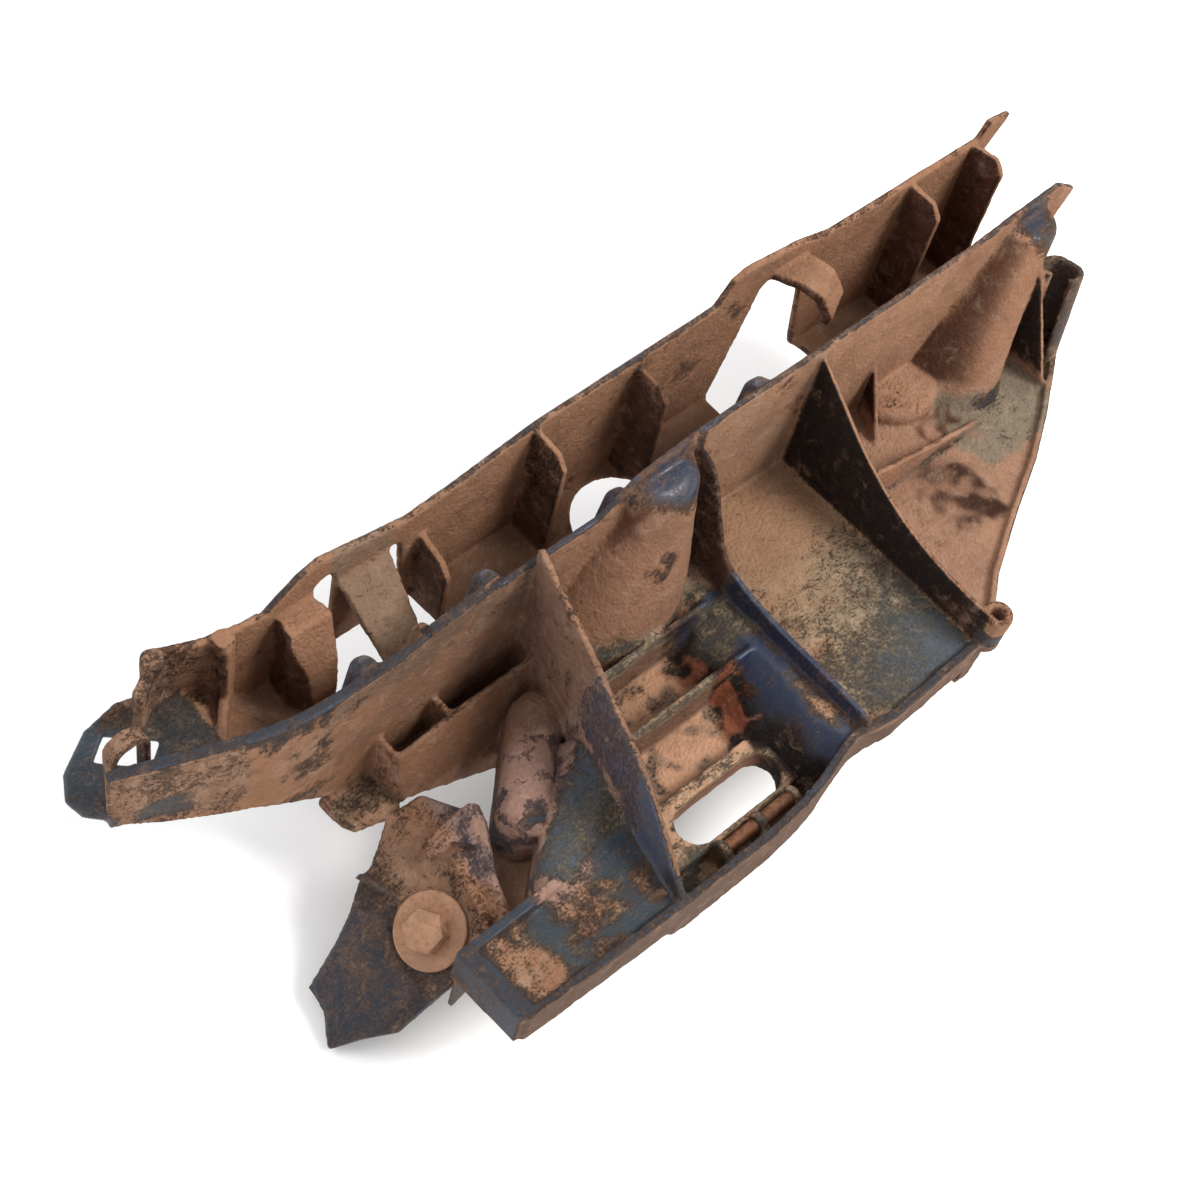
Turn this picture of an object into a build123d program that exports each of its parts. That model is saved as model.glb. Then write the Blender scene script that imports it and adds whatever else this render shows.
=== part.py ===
from build123d import *
import os

os.makedirs("parts", exist_ok=True)

# ---------------------------------------------------------------- driving dimensions, mm
wall = 3.0              # thickness of the rails and skirts
web = 2.6               # thickness of ribs and gussets
channel = 39.0          # clear width of the channel between the two rails
rail_length = 461.0     # right-hand tip of the rails, from the bracket datum
floor_deck = 3.0        # thickness of floors and trays, top face at level 0
bay_depth = 22.0        # depth of the slotted bay below the tray level
bay_left = 156.0        # foot of the left gusset on the front rail
bay_right = 234.0       # middle gusset, right side of the bay
tray_right = 301.0      # right gusset, right side of the right-hand tray
lip_height = 3.0        # front lip above the tray level
lip_thickness = 3.5
skirt_drop = 18.0       # front skirt below the tray level
lip_inner = -113.6      # inner face of the front lip at the right-hand tray
bead_height = 2.5       # rolled bead on top of the front rail
bead_overhang = 0.8
slot_length = 52.0
slot_width = 17.5
slot_centre = (179.0, -96.5)
pin_radius = 2.8        # steel retaining pin in the knuckles
thread_radius = 5.0     # M10 fixing bolt
thread_length = 22.0
neck_radius = 4.5
sleeve_bore = 4.8
thread_gap = 0.4        # end play between the full thread and the sleeve
flange_gap = 0.1        # end play under the bolt's flange
sleeve_radius = 8.5
flange_depth = 9.0      # flanges under the arm's edges
arm_top = 8.0           # upper face of the arm above the sleeve's seat
arm_thickness = 4.0
washer_radius = 15.0
washer_thickness = 2.4
hex_flats = 15.0
hex_height = 6.2

# The row's origin is the centre of the sleeve's seat, where the fixing bolt leaves the arm.
# The bracket datum is the front face of the front rail, at tray level and at the bend's side.
datum = Vector(-68.0, 62.5, 42.0)
bolt_axis = Vector(-0.620, 0.051, 0.783)
arm_along = Vector(0.784, 0.0, 0.621)

rear_inner = wall + channel
rear_outer = rear_inner + wall


def plan(level):
    """Horizontal plane at a height above the tray level; sketches read as (x, y)."""
    return Plane(origin=datum + Vector(0, 0, level), x_dir=(1, 0, 0), z_dir=(0, 0, 1))


def elevation(depth):
    """Vertical plane along the rails, extruding towards the front; sketches read as (x, z)."""
    return Plane(origin=datum + Vector(0, depth, 0), x_dir=(1, 0, 0), z_dir=(0, -1, 0))


def section(station):
    """Vertical plane across the rails, extruding to the right; sketches read as (y, z)."""
    return Plane(origin=datum + Vector(station, 0, 0), x_dir=(0, 1, 0), z_dir=(1, 0, 0))


def upright(start, end):
    """Vertical plane through two plan points; sketches read as (distance from start, z)."""
    run = Vector(end[0] - start[0], end[1] - start[1], 0).normalized()
    return Plane(origin=datum + Vector(start[0], start[1], 0), x_dir=run, z_dir=run.cross(Vector(0, 0, 1)))


def on_arm(height):
    """Plane parallel to the arm, a height above the sleeve's seat."""
    return Plane(origin=bolt_axis * height, x_dir=arm_along, z_dir=bolt_axis)


# ---------------------------------------------------------------- front rail
front_foot = -28.0
front_top = [
    (66, 45), (92, 45), (92, 47.5), (105, 49.5), (129, 52), (186, 52.5), (204, 64), (235, 68.5),
    (391, 71), (416, 75), (446, 78), (rail_length, 68), (455, 55), (452, -floor_deck),
    (236, -floor_deck), (236, front_foot), (66, front_foot),
]
with BuildPart() as front_rail:
    with BuildSketch(elevation(wall)):
        with BuildLine():
            Polyline(*front_top, close=True)
        make_face()
    extrude(amount=wall)
    # raised stretch of bead between the first two buttresses
    with BuildSketch(elevation(wall + bead_overhang)):
        with BuildLine():
            Polyline((105, 49.5), (129, 52), (129, 52 + bead_height), (105, 49.5 + bead_height), close=True)
        make_face()
    extrude(amount=wall + 2 * bead_overhang)
front_rail.part.label = "front_rail"
export_step(front_rail.part, "parts/front_rail.step")

# The left end of both rails bends back in an arc and runs straight to its end.
front_bend_radius = 148.0
front_bend_angle = 20.5
front_tail_straight = 34.0
tail_start = 66.0
with BuildPart() as front_tail:
    with BuildSketch(plan(front_foot)):
        with BuildLine():
            front_bend = JernArc(start=(tail_start, 0), tangent=(-1, 0), radius=front_bend_radius,
                                 arc_size=-front_bend_angle)
            Line(front_bend @ 1, front_bend @ 1 + front_bend % 1 * front_tail_straight)
            offset(amount=wall, side=Side.RIGHT)
        make_face()
    extrude(amount=100)
    with BuildSketch(elevation(60)):
        with BuildLine():
            Polyline((-30, 47.5), (25, 47.5), (45, 45.5), (tail_start, 45), (tail_start, front_foot),
                     (58, -20), (50, -14), (31, -1.7), (10.6, 5.1), (-0.6, 8.7), (-12, 14), (-30, 16),
                     close=True)
        make_face()
    extrude(amount=80, mode=Mode.INTERSECT)
front_tail.part.label = "front_rail_tail"
export_step(front_tail.part, "parts/front_rail_tail.step")

with BuildPart() as front_bead:
    with BuildSketch(plan(40)):
        with BuildLine():
            bead_bend = JernArc(start=(tail_start, -bead_overhang), tangent=(-1, 0),
                                radius=front_bend_radius + bead_overhang, arc_size=-front_bend_angle)
            Line(bead_bend @ 1, bead_bend @ 1 + bead_bend % 1 * front_tail_straight)
            offset(amount=wall + 2 * bead_overhang, side=Side.RIGHT)
        make_face()
    extrude(amount=20)
    with BuildSketch(elevation(60)):
        with BuildLine():
            Polyline((-30, 47.5), (25, 47.5), (45, 45.5), (tail_start, 45), (tail_start, 45 + bead_height),
                     (45, 45.5 + bead_height), (25, 47.5 + bead_height), (-30, 47.5 + bead_height),
                     close=True)
        make_face()
    extrude(amount=80, mode=Mode.INTERSECT)
    with BuildSketch(elevation(wall + bead_overhang)):
        with BuildLine():
            Polyline((tail_start, 45), (92, 45), (92, 45 + bead_height), (tail_start, 45 + bead_height),
                     close=True)
        make_face()
    extrude(amount=wall + 2 * bead_overhang)
front_bead.part.label = "front_rail_bead_left"
export_step(front_bead.part, "parts/front_rail_bead_left.step")

# ---------------------------------------------------------------- rear rail
with BuildPart() as rear_rail:
    with BuildSketch(elevation(rear_outer)):
        with BuildLine():
            Polyline((62, 46), (78, 58), (87, 61), (128, 52), (150, 54.5), (190, 61.5), (285, 64.5),
                     (292, 76), (300, 78.5), (330, 75), (350, 69.5), (444, 69), (448, 78), (463, 75.5),
                     (450, 55), (448, -floor_deck), (62, -floor_deck), close=True)
        make_face()
        # big lightening cut-out under the hook tab
        with BuildLine():
            Polyline((297, -5), (312, 60), (316, 62.5), (334, 62), (338, 57), (349, 4), (352, -5), close=True)
        make_face(mode=Mode.SUBTRACT)
        # drain opening beside the box boss, and the slit beside the first fin
        with BuildLine():
            Polyline((85, -5), (86, 46), (92, 49), (95.5, 42), (95.5, -5), close=True)
        make_face(mode=Mode.SUBTRACT)
        with BuildLine():
            Polyline((120.5, -5), (120.5, 41), (126, 38.5), (131, -5), close=True)
        make_face(mode=Mode.SUBTRACT)
    extrude(amount=wall)
rear_rail.part.label = "rear_rail"
export_step(rear_rail.part, "parts/rear_rail.step")

rear_bend_radius = 75.0
rear_bend_angle = 22.0
rear_tail_start = 62.0
with BuildPart() as rear_tail:
    with BuildSketch(plan(-floor_deck)):
        with BuildLine():
            rear_bend = JernArc(start=(rear_tail_start, rear_inner), tangent=(-1, 0), radius=rear_bend_radius,
                                arc_size=-rear_bend_angle)
            Line(rear_bend @ 1, rear_bend @ 1 + rear_bend % 1 * 12.5)
            offset(amount=wall, side=Side.RIGHT)
        make_face()
    extrude(amount=48.5 + floor_deck)
rear_tail.part.label = "rear_rail_tail"
export_step(rear_tail.part, "parts/rear_rail_tail.step")

# ---------------------------------------------------------------- left end of the channel
end_level = 20.0
with BuildPart() as end_plate:
    with BuildSketch(plan(end_level - floor_deck)):
        with BuildLine():
            Polyline((30, 5.9), (14, 11), (-17, 22.6), (-23, 29), (-24.5, 37), (-19, 46), (-4, 55.5),
                     (11, 58.5), (24, 55), (30, 51.2), close=True)
        make_face()
        with BuildLine():
            Polyline((0.5, 50.3), (15, 37), (6, 30.3), (-8.5, 43.6), close=True)
        make_face(mode=Mode.SUBTRACT)
    extrude(amount=floor_deck)
    add(front_tail.part, mode=Mode.SUBTRACT)
    add(rear_tail.part, mode=Mode.SUBTRACT)
end_plate.part.label = "end_plate"
export_step(end_plate.part, "parts/end_plate.step")

with BuildPart() as channel_ramp:
    with BuildSketch(elevation(60)):
        with BuildLine():
            Polyline((30, end_level), (58, 0), (84, 0), (84, -floor_deck), (57, -floor_deck),
                     (30, end_level - floor_deck), close=True)
        make_face()
    extrude(amount=60)
    with BuildSketch(plan(-10)):
        with BuildLine():
            Polyline((84, 1.5), (66, 1.5), (48, 2.6), (30, 5.9), (30, 51), (36, 48.2), (48, 44.8),
                     (62, 43.5), (84, 43.5), close=True)
        make_face()
    extrude(amount=50, mode=Mode.INTERSECT)
    add(front_tail.part, mode=Mode.SUBTRACT)
    add(front_rail.part, mode=Mode.SUBTRACT)
    add(rear_tail.part, mode=Mode.SUBTRACT)
    add(rear_rail.part, mode=Mode.SUBTRACT)
channel_ramp.part.label = "channel_ramp"
export_step(channel_ramp.part, "parts/channel_ramp.step")

with BuildPart() as end_rib:
    with BuildSketch(plan(end_level)):
        with Locations((17, 47.5)):
            Rectangle(17, 4, rotation=32.7)
    extrude(amount=26.5)
    with BuildSketch(plan(end_level)):
        with Locations((21.5, 50.5)):
            Circle(4.2)
    extrude(amount=30)
    add(rear_tail.part, mode=Mode.SUBTRACT)
    add(channel_ramp.part, mode=Mode.SUBTRACT)
end_rib.part.label = "end_rib"
export_step(end_rib.part, "parts/end_rib.step")

with BuildPart() as tail_rib:
    with BuildSketch(upright((48, 44), (32.5, 25.5))):
        with BuildLine():
            Polyline((0, -2), (0, 48), (8, 48), (9.5, 20), (20, 20), (24, 18), (24, -2), close=True)
        make_face()
    extrude(amount=2, both=True)
    with BuildSketch(plan(5)):
        with Locations((45.6, 42.6)):
            Circle(4.2)
    extrude(amount=45)
    add(rear_tail.part, mode=Mode.SUBTRACT)
    add(channel_ramp.part, mode=Mode.SUBTRACT)
    with BuildSketch(elevation(60)):
        with BuildLine():
            Polyline((20, 60), (20, end_level + 0.01), (30, end_level), (58, 0), (70, 0), (70, 60),
                     close=True)
        make_face()
    extrude(amount=60, mode=Mode.INTERSECT)
tail_rib.part.label = "tail_rib"
export_step(tail_rib.part, "parts/tail_rib.step")

# U-shaped snap hook that stands at the window
hook_half = 8.0
with BuildPart() as snap_hook:
    with BuildSketch(elevation(33)):
        with BuildLine():
            Polyline((-4 - hook_half, end_level + 24), (-4 - hook_half, end_level),
                     (-4 + hook_half, end_level), (-4 + hook_half, end_level + 24))
            ThreePointArc((-4 + hook_half, end_level + 24), (-4, end_level + 24 + hook_half),
                          (-4 - hook_half, end_level + 24))
        make_face()
        with BuildLine():
            Polyline((-4 - hook_half + 2.4, end_level + 24), (-4 - hook_half + 2.4, end_level),
                     (-4 + hook_half - 2.4, end_level), (-4 + hook_half - 2.4, end_level + 24))
            ThreePointArc((-4 + hook_half - 2.4, end_level + 24), (-4, end_level + 24 + hook_half - 2.4),
                          (-4 - hook_half + 2.4, end_level + 24))
        make_face(mode=Mode.SUBTRACT)
    extrude(amount=7)
snap_hook.part.label = "snap_hook"
export_step(snap_hook.part, "parts/snap_hook.step")

with BuildPart() as box_boss:
    with BuildSketch(plan(0)):
        with BuildLine():
            Polyline((68, rear_inner), (84, rear_inner), (86, 34), (83, 22), (72, 20), (66, 30), close=True)
        make_face()
    extrude(amount=43)
    with BuildSketch(section(60)):
        with BuildLine():
            Polyline((rear_inner, 0), (rear_inner, 43), (32, 43), (24, 24), (20, 0), close=True)
        make_face()
    extrude(amount=40, mode=Mode.INTERSECT)
box_boss.part.label = "box_boss"
export_step(box_boss.part, "parts/box_boss.step")

# ---------------------------------------------------------------- channel floors, bridge and fins
bridge_slope = 35.7
with BuildPart() as bridge_panel:
    bridge_plane = Plane(origin=datum + Vector(0, wall, 14), x_dir=(1, 0, 0),
                         z_dir=Vector(0, 0, 1).rotate(Axis.X, bridge_slope))
    with BuildSketch(bridge_plane):
        with BuildLine():
            Polyline((98, -3), (114, -3), (120, 48), (95.8, 48), close=True)
        make_face()
    extrude(amount=-wall)
    with BuildSketch(plan(-10)):
        with BuildLine():
            Polyline((90, wall), (125, wall), (125, rear_inner), (90, rear_inner), close=True)
        make_face()
    extrude(amount=70, mode=Mode.INTERSECT)
bridge_panel.part.label = "bridge_panel"
export_step(bridge_panel.part, "parts/bridge_panel.step")

with BuildPart() as channel_floor:
    with BuildSketch(plan(-floor_deck)):
        with BuildLine():
            Polyline((136, wall), (297, wall), (297, rear_inner), (134, rear_inner), close=True)
        make_face()
        with Locations((226, wall + 10)):
            Ellipse(23, 26, mode=Mode.SUBTRACT)
    extrude(amount=floor_deck)
channel_floor.part.label = "channel_floor_middle"
export_step(channel_floor.part, "parts/channel_floor_middle.step")

with BuildPart() as channel_floor_right:
    with BuildSketch(plan(-floor_deck)):
        with BuildLine():
            Polyline((356, wall), (448, wall), (448, rear_inner), (352, rear_inner), close=True)
        make_face()
        with Locations((421, wall + 8)):
            Circle(9, mode=Mode.SUBTRACT)
    extrude(amount=floor_deck)
channel_floor_right.part.label = "channel_floor_right"
export_step(channel_floor_right.part, "parts/channel_floor_right.step")

# Fins on the rear rail: station, height at the rail, height of the free edge
fin_depth = 18.0
fins = [(134, 38, 33), (188, 60, 58), (241, 60, 60), (399, 68, 68), (439, 69, 71)]
fin_parts = []
for number, (station, root_height, edge_height) in enumerate(fins, start=1):
    with BuildPart() as fin:
        with BuildSketch(section(station)):
            with BuildLine():
                Polyline((rear_inner, 0), (rear_inner, root_height),
                         (rear_inner - fin_depth + 5, edge_height), (rear_inner - fin_depth, edge_height - 6),
                         (rear_inner - fin_depth, 0), close=True)
            make_face()
        extrude(amount=3.4)
    fin.part.label = f"channel_fin_{number}"
    export_step(fin.part, f"parts/channel_fin_{number}.step")
    fin_parts.append(fin)

# Tapered buttresses on the channel side of the front rail: station, width, height
buttresses = [(78, 22, 52), (106, 16, 47), (134, 24, 56), (201, 22, 52), (272, 24, 67)]
for number, (station, width, height) in enumerate(buttresses, start=1):
    with BuildPart() as buttress:
        with BuildSketch(plan(0)):
            with Locations((station, wall)):
                Ellipse(width / 2, 12)
        with BuildSketch(plan(height - 6)):
            with Locations((station, wall)):
                Ellipse(width / 4, 8)
        loft()
        with BuildSketch(plan(height - 6)):
            with Locations((station, wall)):
                Ellipse(width / 4, 8)
        with BuildSketch(plan(height)):
            with Locations((station, wall)):
                Ellipse(width / 7, 5)
        loft()
        split(bisect_by=elevation(wall), keep=Keep.BOTTOM)
        add(front_bead.part, mode=Mode.SUBTRACT)
        add(front_rail.part, mode=Mode.SUBTRACT)
        if number == 2:
            add(bridge_panel.part, mode=Mode.SUBTRACT)
            split(bisect_by=bridge_plane, keep=Keep.TOP)
    buttress.part.label = f"rail_buttress_{number}"
    export_step(buttress.part, f"parts/rail_buttress_{number}.step")

# Hook tab: a curled tongue that reaches from the rear rail over the cut-out
with BuildPart() as hook_tab:
    with BuildSketch(upright((326, rear_inner), (337, 21))):
        with BuildLine():
            Polyline((-10, 62.5), (-10, 66), (9, 66.5), (18, 63.5), (24.5, 54), (23.5, 49), (20, 50),
                     (19.5, 54), (15, 60), (8, 62.5), close=True)
        make_face()
    extrude(amount=9, both=True)
    with BuildSketch(plan(40)):
        with BuildLine():
            Polyline((300, rear_inner), (365, rear_inner), (365, 10), (300, 10), close=True)
        make_face()
    extrude(amount=40, mode=Mode.INTERSECT)
hook_tab.part.label = "hook_tab"
export_step(hook_tab.part, "parts/hook_tab.step")

# ---------------------------------------------------------------- front lip and skirt
front_line = [
    (54.5, -118.7), (107, -121), (135, -122), (175, -122.4), (193, -121), (206, -118.8),
    (222, -114.5), (230, -113.2), (249, -116.5), (308, -114.2),
]
with BuildPart() as front_skirt:
    with BuildSketch(plan(-bay_depth - floor_deck)):
        with BuildLine():
            Polyline(*front_line)
            offset(amount=lip_thickness, side=Side.LEFT)
        make_face()
    extrude(amount=bay_depth + floor_deck + lip_height)
    with BuildSketch(elevation(0)):
        with BuildLine():
            Polyline((50, lip_height), (310, lip_height), (310, -skirt_drop + 3), (236, -skirt_drop + 3),
                     (222, -bay_depth - floor_deck), (128, -bay_depth - floor_deck), (122, -skirt_drop),
                     (50, -skirt_drop), close=True)
        make_face()
    extrude(amount=130, mode=Mode.INTERSECT)
    # small drain tab that hangs from the skirt's right end
    with BuildSketch(plan(-28)):
        with Locations((303.5, -112.4)):
            Rectangle(9, lip_thickness)
    extrude(amount=14)
front_skirt.part.label = "front_skirt"
export_step(front_skirt.part, "parts/front_skirt.step")

# ---------------------------------------------------------------- gussets across the front
left_gusset_foot = (129.5, -118.4)
with BuildPart() as left_gusset:
    with BuildSketch(upright((bay_left, 0), left_gusset_foot)):
        with BuildLine():
            Polyline((124, 3), (124, -bay_depth - floor_deck), (0, -bay_depth - floor_deck), (0, 61))
            Spline((0, 61), (18, 55.5), (40, 49.5), (62, 41), (77, 36), (100, 22), (124, 3))
        make_face()
    extrude(amount=wall)
    add(front_skirt.part, mode=Mode.SUBTRACT)
    add(front_rail.part, mode=Mode.SUBTRACT)
left_gusset.part.label = "left_gusset"
export_step(left_gusset.part, "parts/left_gusset.step")

with BuildPart() as right_gusset:
    with BuildSketch(section(tray_right)):
        with BuildLine():
            Polyline((lip_inner, 18.5), (lip_inner, -floor_deck), (0, -floor_deck), (0, 67.5))
            Spline((0, 67.5), (-23, 48.3), (-43, 34), (-62, 25), (-84, 19.6), (lip_inner, 18.5))
        make_face()
    extrude(amount=web)
    # rolled end where the gusset meets the front lip
    with BuildSketch(plan(-floor_deck)):
        with Locations((tray_right + 5.5, lip_inner + 1)):
            Circle(6)
            Circle(3.2, mode=Mode.SUBTRACT)
        with Locations((tray_right - 6, lip_inner)):
            Rectangle(12, 20, mode=Mode.SUBTRACT)
    extrude(amount=floor_deck + 18)
    add(front_skirt.part, mode=Mode.SUBTRACT)
right_gusset.part.label = "right_gusset"
export_step(right_gusset.part, "parts/right_gusset.step")

# ---------------------------------------------------------------- slotted bay
with BuildPart() as bay_ramp:
    with BuildSketch(elevation(0)):
        with BuildLine():
            Polyline((208, -bay_depth - floor_deck), (228, -floor_deck), (bay_right, -floor_deck),
                     (bay_right, 0), (227, 0))
            Spline((227, 0), (222, -5), (214, -14.5), (208, -bay_depth))
            Line((208, -bay_depth), (208, -bay_depth - floor_deck))
        make_face()
    extrude(amount=112)
    add(front_skirt.part, mode=Mode.SUBTRACT)
bay_ramp.part.label = "bay_ramp"
export_step(bay_ramp.part, "parts/bay_ramp.step")

with BuildPart() as left_dome:
    with BuildSketch(plan(-bay_depth)):
        with Locations((196, 0)):
            Ellipse(40, 31)
    with BuildSketch(plan(0)):
        with Locations((199, 0)):
            Ellipse(36, 29.6)
    with BuildSketch(plan(42)):
        with Locations((213, 0)):
            Ellipse(20, 17)
    with BuildSketch(plan(60)):
        with Locations((216, 0)):
            Ellipse(17, 13)
    loft()
    fillet(left_dome.faces().sort_by(Axis.Z)[-1].edges(), radius=8)
    split(bisect_by=elevation(0), keep=Keep.TOP)
    add(left_gusset.part, mode=Mode.SUBTRACT)
    add(bay_ramp.part, mode=Mode.SUBTRACT)
    with BuildSketch(plan(-bay_depth)):
        with BuildLine():
            Polyline((156, 1), (bay_right, 1), (bay_right, -40), (147.05, -40), close=True)
        make_face()
    extrude(amount=90, mode=Mode.INTERSECT)
    with BuildSketch(elevation(0)):
        with BuildLine():
            Polyline((140, -bay_depth), (208, -bay_depth), (bay_right, 0), (bay_right, 61), (140, 61),
                     close=True)
        make_face()
    extrude(amount=40, mode=Mode.INTERSECT)
left_dome.part = left_dome.part.solids().sort_by(SortBy.VOLUME)[-1]
left_dome.part.label = "left_dome"
export_step(left_dome.part, "parts/left_dome.step")

with BuildPart() as middle_gusset:
    with BuildSketch(section(bay_right)):
        with BuildLine():
            Polyline((lip_inner + 1, 6.5), (lip_inner + 1, -floor_deck), (0, -floor_deck), (0, 60))
            Spline((0, 60), (-10, 55), (-17, 41), (-23, 27), (-30, 16), (-42, 11.5), (-68, 8.6),
                   (lip_inner + 1, 6.5))
        make_face()
    extrude(amount=web)
    add(front_skirt.part, mode=Mode.SUBTRACT)
middle_gusset.part.label = "middle_gusset"
export_step(middle_gusset.part, "parts/middle_gusset.step")

bay_front = -119.5
with BuildPart() as bay_floor:
    with BuildSketch(plan(-bay_depth - floor_deck)):
        with BuildLine():
            Polyline((bay_left - 1.5, 0), (208, 0), (208, -116.5), (190, bay_front), (127.7, -121),
                     close=True)
        make_face()
        with Locations(slot_centre):
            SlotOverall(slot_length, slot_width, mode=Mode.SUBTRACT)
    extrude(amount=floor_deck)
    add(left_gusset.part, mode=Mode.SUBTRACT)
    add(front_skirt.part, mode=Mode.SUBTRACT)
    add(bay_ramp.part, mode=Mode.SUBTRACT)
    add(left_dome.part, mode=Mode.SUBTRACT)
bay_floor.part = bay_floor.part.solids().sort_by(SortBy.VOLUME)[-1]
bay_floor.part.label = "bay_floor"
export_step(bay_floor.part, "parts/bay_floor.step")

# Stiffening ribs between the left gusset and the ramp
for number, station in enumerate([-31, -57], start=1):
    with BuildPart() as bay_rib:
        with BuildSketch(elevation(station)):
            with BuildLine():
                Polyline((134, 0), (228, 0), (208, -bay_depth), (134, -bay_depth), close=True)
            make_face()
        extrude(amount=web)
        add(left_gusset.part, mode=Mode.SUBTRACT)
        add(bay_ramp.part, mode=Mode.SUBTRACT)
        add(left_dome.part, mode=Mode.SUBTRACT)
        with BuildSketch(plan(-bay_depth)):
            with BuildLine():
                Polyline((155, 0), (236, 0), (236, -118.4), (128.5, -118.4), close=True)
            make_face()
        extrude(amount=bay_depth, mode=Mode.INTERSECT)
    bay_rib.part.label = f"bay_rib_{number}"
    export_step(bay_rib.part, f"parts/bay_rib_{number}.step")

block_top = -14.0
with BuildPart() as slot_block:
    with BuildSketch(plan(-bay_depth)):
        with BuildLine():
            Polyline((148, -82), (202, -82), (208, -88), (208, -107), (141, -107), (141, -88), close=True)
        make_face()
        with Locations(slot_centre):
            SlotOverall(slot_length, slot_width, mode=Mode.SUBTRACT)
    extrude(amount=block_top + bay_depth)
    add(left_gusset.part, mode=Mode.SUBTRACT)
    add(bay_ramp.part, mode=Mode.SUBTRACT)
slot_block.part.label = "slot_block"
export_step(slot_block.part, "parts/slot_block.step")

# Knuckles with a steel retaining pin, along the front edge of the slot
pin_height = -13.5
pin_line = -111.2
with BuildPart() as knuckles:
    with BuildSketch(plan(-bay_depth)):
        with Locations((180, -113.2)):
            Rectangle(42, 12.4)
    extrude(amount=10)
    with BuildSketch(section(159)):
        with Locations((pin_line, pin_height)):
            Circle(4.2)
    extrude(amount=42)
    with BuildSketch(plan(-17.5)):
        with Locations((170.5, -112), (190, -112)):
            Rectangle(15, 14)
    extrude(amount=12, mode=Mode.SUBTRACT)
    with BuildSketch(section(161)):
        with Locations((pin_line, pin_height)):
            Circle(pin_radius)
    extrude(amount=38, mode=Mode.SUBTRACT)
    add(front_skirt.part, mode=Mode.SUBTRACT)
    add(slot_block.part, mode=Mode.SUBTRACT)
knuckles.part.label = "pin_knuckles"
export_step(knuckles.part, "parts/pin_knuckles.step")

with BuildPart() as retaining_pin:
    with BuildSketch(section(161)):
        with Locations((pin_line, pin_height)):
            Circle(pin_radius)
    extrude(amount=38)
    add(slot_block.part, mode=Mode.SUBTRACT)
    add(front_skirt.part, mode=Mode.SUBTRACT)
retaining_pin.part.label = "retaining_pin"
export_step(retaining_pin.part, "parts/retaining_pin.step")

# ---------------------------------------------------------------- trays
with BuildPart() as right_tray:
    with BuildSketch(plan(-floor_deck)):
        with BuildLine():
            Polyline((bay_right + web, 0), (tray_right, 0), (tray_right, -113.2), (249, -115.2),
                     (bay_right + web, -113.4), close=True)
        make_face()
    extrude(amount=floor_deck)
    add(front_skirt.part, mode=Mode.SUBTRACT)
right_tray.part.label = "right_tray"
export_step(right_tray.part, "parts/right_tray.step")

tray_back = [(53, -84), (99, -84), (109, -77.5), (128, -68.5), (141, -60.5)]
with BuildPart() as left_tray:
    with BuildSketch(plan(-floor_deck)):
        with BuildLine():
            Polyline(*tray_back, (127.4, -121), (107, -120), (55, -117.5), close=True)
        make_face()
    extrude(amount=floor_deck)
    add(left_gusset.part, mode=Mode.SUBTRACT)
    add(front_skirt.part, mode=Mode.SUBTRACT)
left_tray.part.label = "left_tray"
export_step(left_tray.part, "parts/left_tray.step")

# Raised edge round the tray's left side and back
with BuildPart() as tray_rim:
    with BuildSketch(plan(0)):
        with BuildLine():
            Polyline((53, -84), (98, -84), (98, -88), (57, -88), (58.5, -115.4), (54.8, -115.4), close=True)
        make_face()
    extrude(amount=lip_height)
    with BuildSketch(plan(-skirt_drop)):
        with BuildLine():
            Polyline((50, -84), (54, -84), (56, -117), (51.6, -117), close=True)
        make_face()
    extrude(amount=skirt_drop + lip_height)
    add(left_tray.part, mode=Mode.SUBTRACT)
    add(front_skirt.part, mode=Mode.SUBTRACT)
tray_rim.part.label = "left_tray_rim"
export_step(tray_rim.part, "parts/left_tray_rim.step")

# ---------------------------------------------------------------- ledge under the front rail
with BuildPart() as ledge_pad:
    with BuildSketch(plan(front_foot - 5)):
        with BuildLine():
            Polyline((84, wall), (61, wall), (62, -10), (65, -15), (76, -17.7), (84, -18.3), close=True)
        make_face()
    extrude(amount=5)
    with BuildSketch(plan(front_foot)):
        with Locations((75.7, -7.6)):
            Circle(6.4)
            Circle(5.2, mode=Mode.SUBTRACT)
    extrude(amount=0.8)
ledge_pad.part.label = "ledge_pad"
export_step(ledge_pad.part, "parts/ledge_pad.step")

ledge_ribs = [(84, -1.5), (110, 1.5)]
with BuildPart() as ledge_plate:
    ledge_face = Plane(origin=datum + Vector(84, -12, 0), x_dir=(1, 0, 0), z_dir=(0, -0.97, 0.243))
    with BuildSketch(ledge_face):
        with BuildLine():
            Polyline((0, -1.3), (27, 2), (74, 3), (68, -50), (53, -48.5), (3, -26), (0, -27), close=True)
        make_face()
    extrude(amount=-web)
    add(left_gusset.part, mode=Mode.SUBTRACT)
    with BuildSketch(plan(-60)):
        with BuildLine():
            Polyline((80, 0), (154.5, 0), (145.5, -40), (80, -40), close=True)
        make_face()
    extrude(amount=80, mode=Mode.INTERSECT)
ledge_plate.part.label = "ledge_plate"
export_step(ledge_plate.part, "parts/ledge_plate.step")

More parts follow.
